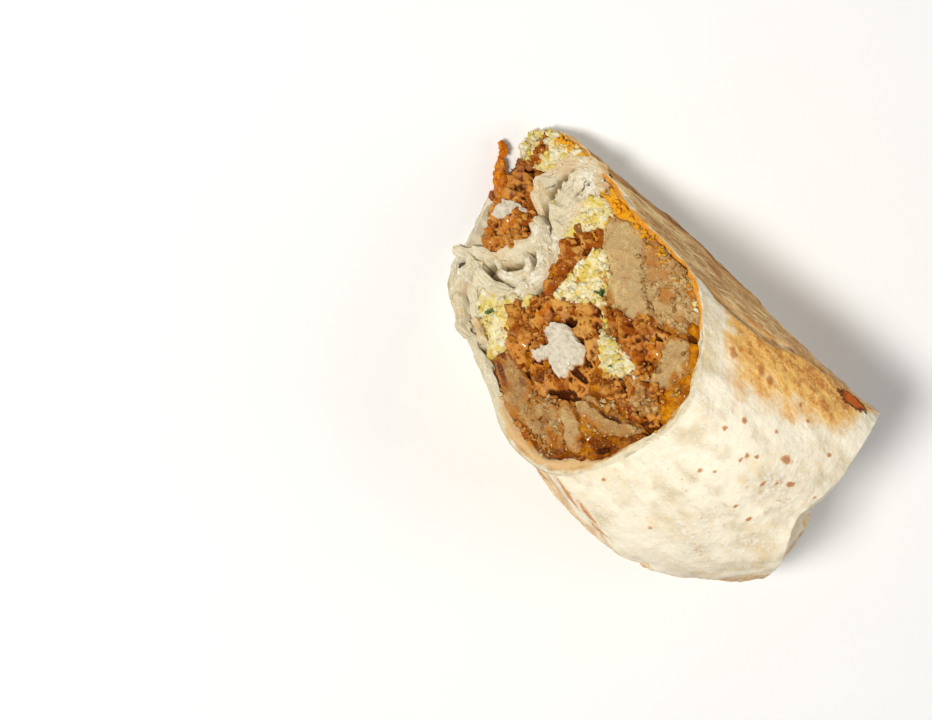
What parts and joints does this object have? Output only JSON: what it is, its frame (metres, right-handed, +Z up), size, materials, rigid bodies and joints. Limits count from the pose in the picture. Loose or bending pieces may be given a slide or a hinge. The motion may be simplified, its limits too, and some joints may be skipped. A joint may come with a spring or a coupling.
{
  "type": "burrito",
  "caption": "Half of a griddled flour-tortilla burrito cut on the slant, with breaded chicken, scrambled egg, potato and melted cheese at the cut.",
  "frame": {"origin": "under the middle of the half's box, on the surface it lies on", "axes": "+X from the slanted cut towards the closed end, +Y towards the griddled side, +Z up"},
  "size_m": [0.129, 0.0742, 0.0746],
  "materials": {
    "tortilla": "matt floury tortilla, cream with brown griddle marks and a golden toasted edge",
    "breaded_chicken": "craggy fried crumb over pale meat",
    "scrambled_egg": "soft moist curds, white to pale yellow",
    "potato": "dull mealy cut potato",
    "melted_cheese": "glossy melted orange cheese and sauce"
  },
  "bodies": {
    "root": {"tortilla": "tortilla", "chicken_pocket": "breaded_chicken", "chicken_strip": "breaded_chicken", "chicken_lower": "breaded_chicken", "chicken_right": "breaded_chicken", "chicken_crumb": "breaded_chicken", "egg_top": "scrambled_egg", "egg_upper": "scrambled_egg", "egg_middle": "scrambled_egg", "egg_left": "scrambled_egg", "egg_centre": "scrambled_egg", "potato_slab": "potato", "potato_crumble": "potato", "potato_right": "potato", "potato_left": "potato", "potato_corner": "potato", "potato_oval": "potato", "potato_long": "potato", "cheese_top": "melted_cheese", "cheese_side": "melted_cheese", "cheese_patch": "melted_cheese", "cheese_bottom": "melted_cheese", "cheese_corner": "melted_cheese"}
  },
  "joints": []
}
